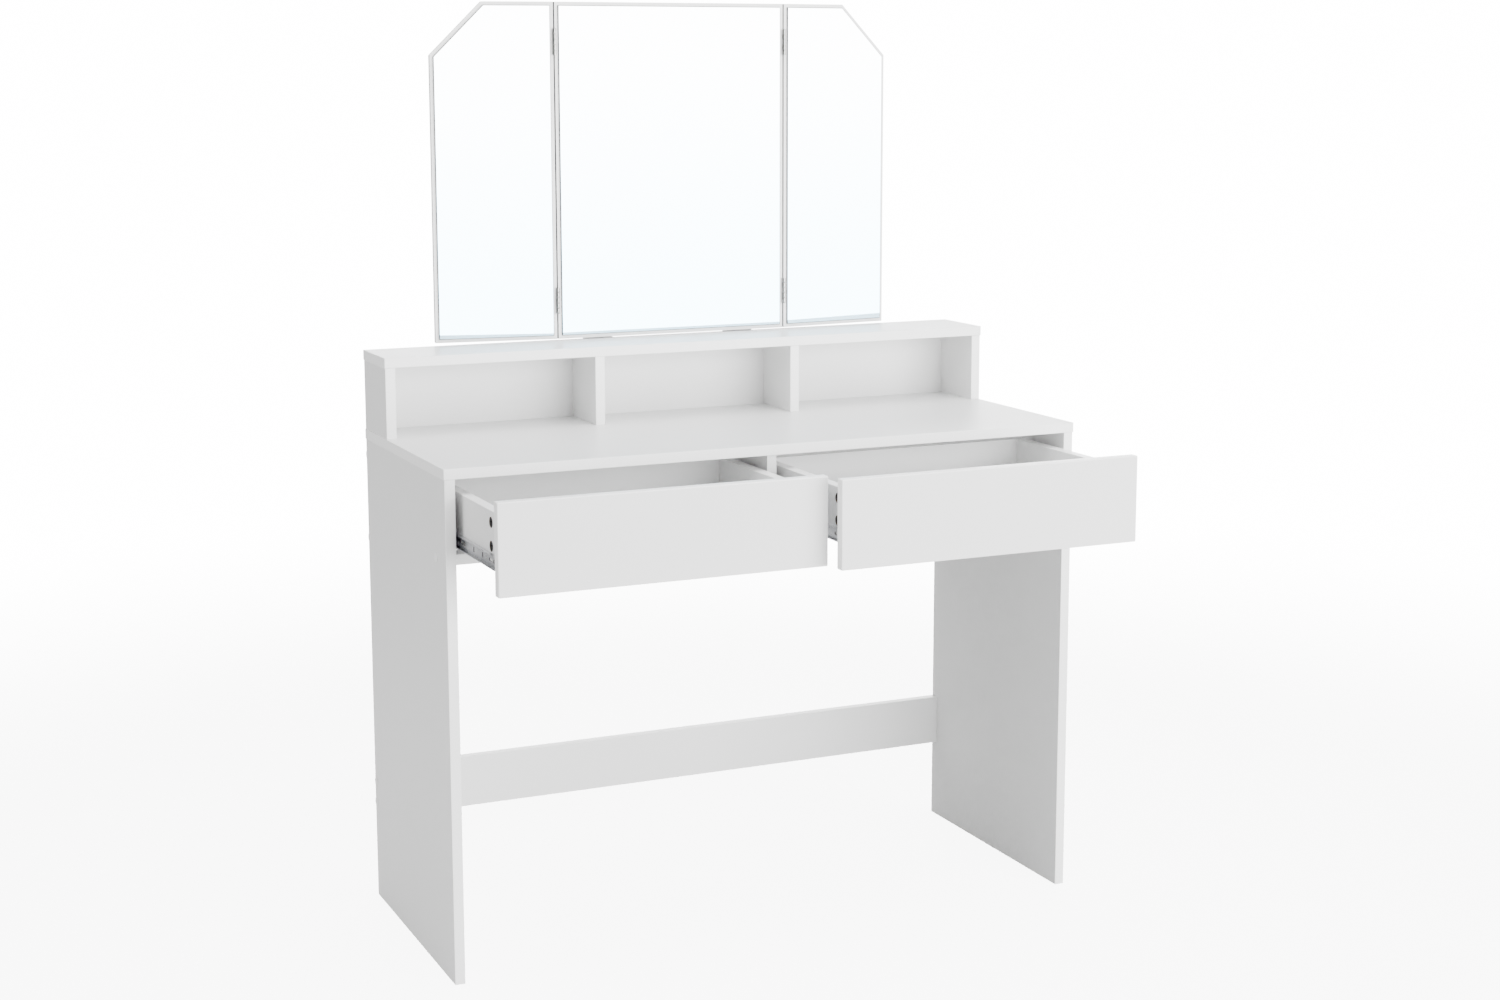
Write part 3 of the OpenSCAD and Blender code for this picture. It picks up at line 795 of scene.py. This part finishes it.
@dataclass
class DrawerBottoms:
    """Thin lacquered hardboard bottoms with a soft edge."""

    edge_radius: float = 0.4 * MM
    edge_segments: int = 2
    shortest_edge: float = 2.0 * MM

    def build(self, node: str) -> bpy.types.Object:
        """Builds one bottom."""
        mesh = merged_copy(node)
        edges = outer_edges(mesh, self.shortest_edge)
        for face in round_edges(mesh, edges, self.edge_radius, self.edge_segments):
            face.smooth = True
        return to_piece(mesh, f"{node}_lacquered", (HARDBOARD,), node)

    def build_all(self) -> None:
        """Builds both bottoms."""
        for side in ("left", "right"):
            self.build(f"{side}_drawer_bottom")


# ---------------------------------------------------------------- mirror glass


@dataclass
class MirrorGlass:
    """Sheets of silvered glass with a ground rim."""

    rim_width: float = 1.0 * MM
    rim_segments: int = 2
    shortest_edge: float = 2.0 * MM
    faces_front: float = 0.999

    def build(self, node: str) -> bpy.types.Object:
        """Builds one sheet.

        Args:
            node: the node's name.

        Returns:
            The sheet.
        """
        mesh = merged_copy(node)
        front = min(mesh.faces, key=lambda face: face.normal.y).normal.copy()
        edges = [
            edge for edge in outer_edges(mesh, self.shortest_edge)
            if any(face.normal.dot(front) > self.faces_front for face in edge.link_faces)
        ]
        round_edges(mesh, edges, self.rim_width, self.rim_segments)
        for face in mesh.faces:
            face.material_index = int(face.normal.dot(front) <= self.faces_front)
        return to_piece(mesh, f"{node}_silvered", (MIRROR_WITH_PAINTED_REFLECTION, RIM), node)

    def build_all(self) -> None:
        """Builds the three sheets."""
        for node in ("centre_mirror_glass", "left_wing_glass", "right_wing_glass"):
            self.build(node)


# ---------------------------------------------------------------- hardware


@dataclass
class ScrewHeads:
    """Cross recesses for a driver in the heads of screws, sized in radii of the head's end."""

    wing: float = 0.62
    blade: float = 0.13
    depth: float = 0.3
    slack: float = 0.0001 * MM

    def cut(self, mesh: bmesh.types.BMesh, head: bmesh.types.BMFace) -> None:
        """Cuts one recess.

        Args:
            mesh: the screws.
            head: the flat end of a screw's head.
        """
        centre, normal = head.calc_center_median(), head.normal.copy()
        radius = (head.verts[0].co - centre).length
        across = (head.verts[0].co - centre).normalized()
        along = normal.cross(across)
        parts = [head]
        for axis in (across, along):
            for place in (-self.wing, -self.blade, self.blade, self.wing):
                geom = {*parts}
                geom |= {edge for face in parts for edge in face.edges}
                geom |= {vert for face in parts for vert in face.verts}
                cut = bmesh.ops.bisect_plane(
                    mesh, geom=list(geom), dist=self.slack,
                    plane_co=centre + axis * (place * radius), plane_no=axis)
                parts = [item for item in cut["geom"] if isinstance(item, bmesh.types.BMFace)]
        cross = []
        for face in parts:
            offset = (face.calc_center_median() - centre) / radius
            reach = sorted((abs(offset.dot(across)), abs(offset.dot(along))))
            if reach[0] < self.blade and reach[1] < self.wing:
                cross.append(face)
        made = bmesh.ops.extrude_face_region(mesh, geom=cross)
        floor = [item for item in made["geom"] if isinstance(item, bmesh.types.BMVert)]
        bmesh.ops.translate(mesh, verts=floor, vec=normal * (-self.depth * radius))
        bmesh.ops.delete(mesh, geom=[face for face in cross if face.is_valid], context="FACES_ONLY")

    def cut_all(self, mesh: bmesh.types.BMesh) -> None:
        """Cuts a recess into every screw: a head's flat end is the screw's widest face."""
        for shell in islands(mesh):
            self.cut(mesh, max(shell, key=lambda face: face.calc_area()))
        mesh.normal_update()


@dataclass(frozen=True)
class Fitting:
    """How the metal and plastic fittings of one material are finished.

    Rolled strips have rounded long edges, and the walls of their slots are painted dark as painted
    shade inside the slots.
    """

    finish: Finish
    ending: str
    edge_radius: float = 0.15 * MM
    rolled: bool = False
    screws: bool = False


FITTINGS = {
    "zinc_steel": Fitting(ZINC, "rolled", rolled=True),
    "nickel_steel": Fitting(NICKEL, "plated"),
    "cam_zinc": Fitting(DARK_CAMS_AND_SLOT_SHADE, "cast"),
    "screw_steel": Fitting(SCREW, "turned", screws=True),
    "cap_plastic": Fitting(CAP, "moulded", edge_radius=0.6 * MM),
    "dowel_wood": Fitting(DOWEL, "turned"),
}


@dataclass
class Hardware:
    """Metal and plastic fittings, made from the frame's shapes with softened edges.

    A face is part of a slot's wall if it is smaller than slot_wall, in square metres, and doesn't
    look sideways; on rolled strips these walls are painted dark as painted shade inside the slots.
    Faces smaller than smooth_face are shaded smooth.
    """

    rolled_radius: float = 0.5 * MM
    rolled_length: float = 40.0 * MM
    edge_segments: int = 3
    slot_wall: float = 30e-6
    slot_slant: float = 0.2
    smooth_face: float = 20e-6

    def build(self, node: str, fitting: Fitting) -> bpy.types.Object:
        """Builds one node's fittings.

        Args:
            node: the node's name.
            fitting: how they are finished.

        Returns:
            The piece.
        """
        mesh = merged_copy(node)
        for face in mesh.faces:
            in_slot = abs(face.normal.x) < self.slot_slant and face.calc_area() < self.slot_wall
            face.material_index = int(in_slot)
        if fitting.rolled:
            long = [edge for edge in sharp_edges(mesh) if edge.calc_length() > self.rolled_length]
            round_edges(mesh, long, self.rolled_radius, self.edge_segments)
        round_edges(mesh, sharp_edges(mesh), fitting.edge_radius, self.edge_segments, clamp=True)
        if fitting.screws:
            ScrewHeads().cut_all(mesh)
        crease(mesh)
        for face in mesh.faces:
            face.smooth = face.calc_area() < self.smooth_face
        # On rolled strips the slot walls get the dark finish as painted shade inside the slots.
        walls = DARK_CAMS_AND_SLOT_SHADE if fitting.rolled else fitting.finish
        return to_piece(mesh, f"{node}_{fitting.ending}", (fitting.finish, walls), node)

    def build_all(self) -> None:
        """Builds every fitting."""
        for row in frame["record"]["subparts"]:
            if row["material_slot"] in FITTINGS:
                self.build(row["node"], FITTINGS[row["material_slot"]])


# ---------------------------------------------------------------- studio


@dataclass(frozen=True)
class Softbox:
    """A rectangular area light: where it hangs, what it faces, and the radiance of its face."""

    name: str
    at: Point
    aim: Point
    size: tuple[float, float]
    brightness: float
    in_gloss: bool = True

    def hang(self) -> None:
        """Hangs the light, hidden from the camera."""
        light = bpy.data.lights.new(self.name, "AREA")
        light.shape = "RECTANGLE"
        light.size, light.size_y = self.size
        light.energy = self.brightness * math.pi * self.size[0] * self.size[1]
        lamp = bpy.data.objects.new(self.name, light)
        lamp.location = self.at
        aim = Vector(self.aim) - Vector(self.at)
        lamp.rotation_euler = aim.to_track_quat("-Z", "Y").to_euler()
        lamp.visible_camera = False
        lamp.visible_glossy = self.in_gloss
        bpy.context.scene.collection.objects.link(lamp)


SOFTBOXES = (
    Softbox("front_card", (1.7, -3.9, 1.1), (0.0, 0.0, 1.1), (4.6, 2.6), 15.0),
    Softbox("left_card", (-4.0, 0.2, 1.3), (0.0, 0.1, 0.8), (2.2, 2.2), 7.0, in_gloss=False),
    Softbox("back_card", (1.8, 3.4, 1.7), (0.2, 0.2, 1.0), (3.8, 2.6), 8.0),
    Softbox("top", (0.2, -0.6, 3.4), (0.0, 0.0, 0.6), (2.4, 2.4), 9.0),
)


@dataclass
class Studio:
    """A pale floor, soft lights and a camera in front of the table on its left."""

    floor_radius: float = 5.0
    floor_sides: int = 96
    lens: float = 55.02
    sensor: float = 36.0
    yaw: float = math.radians(23.76)
    pitch: float = math.radians(8.91)
    roll: float = math.radians(-0.2)
    eye: Point = (-1.3948, -3.0586, 1.2639)
    shift: tuple[float, float] = (0.023, -0.045)
    fill: float = 0.5
    backdrop: float = 16.0

    def floor(self) -> None:
        """Lays the floor."""
        mesh = bmesh.new()
        bmesh.ops.create_circle(
            mesh, cap_ends=True, segments=self.floor_sides, radius=self.floor_radius)
        data = bpy.data.meshes.new("studio_floor")
        mesh.to_mesh(data)
        mesh.free()
        data.materials.append(Paper("floor_paper").material())
        floor = bpy.data.objects.new("studio_floor", data)
        bpy.context.scene.collection.objects.link(floor)

    def world(self) -> None:
        """Makes an even white surround that looks brighter than it lights."""
        world = bpy.data.worlds.new("studio")
        bpy.context.scene.world = world
        world.use_nodes = True
        graph = Graph(world.node_tree)
        seen = graph.node("ShaderNodeLightPath")["Is Camera Ray"]
        inputs = {"Color": (1, 1, 1, 1), "Strength": seen * (self.backdrop - self.fill) + self.fill}
        background = graph.node("ShaderNodeBackground", {}, inputs)["Background"]
        graph.node("ShaderNodeOutputWorld", {}, {"Surface": background})

    def camera(self) -> None:
        """Sets up the camera."""
        data = bpy.data.cameras.new("view")
        data.lens = self.lens
        data.sensor_width = self.sensor
        data.shift_x, data.shift_y = self.shift
        camera = bpy.data.objects.new("view", data)
        turn = (Matrix.Rotation(-self.yaw, 4, "Z")
                @ Matrix.Rotation(math.pi / 2 - self.pitch, 4, "X")
                @ Matrix.Rotation(self.roll, 4, "Z"))
        camera.matrix_world = Matrix.Translation(self.eye) @ turn
        bpy.context.scene.collection.objects.link(camera)
        bpy.context.scene.camera = camera

    def build(self) -> None:
        """Sets up the whole studio."""
        self.camera()
        self.floor()
        self.world()
        for softbox in SOFTBOXES:
            softbox.hang()


def main() -> None:
    """Builds the studio and then every sub-assembly."""
    Studio().build()
    Boards().build_all()
    DrawerBottoms().build_all()
    MirrorGlass().build_all()
    Hardware().build_all()


if __name__ == "__main__":
    main()
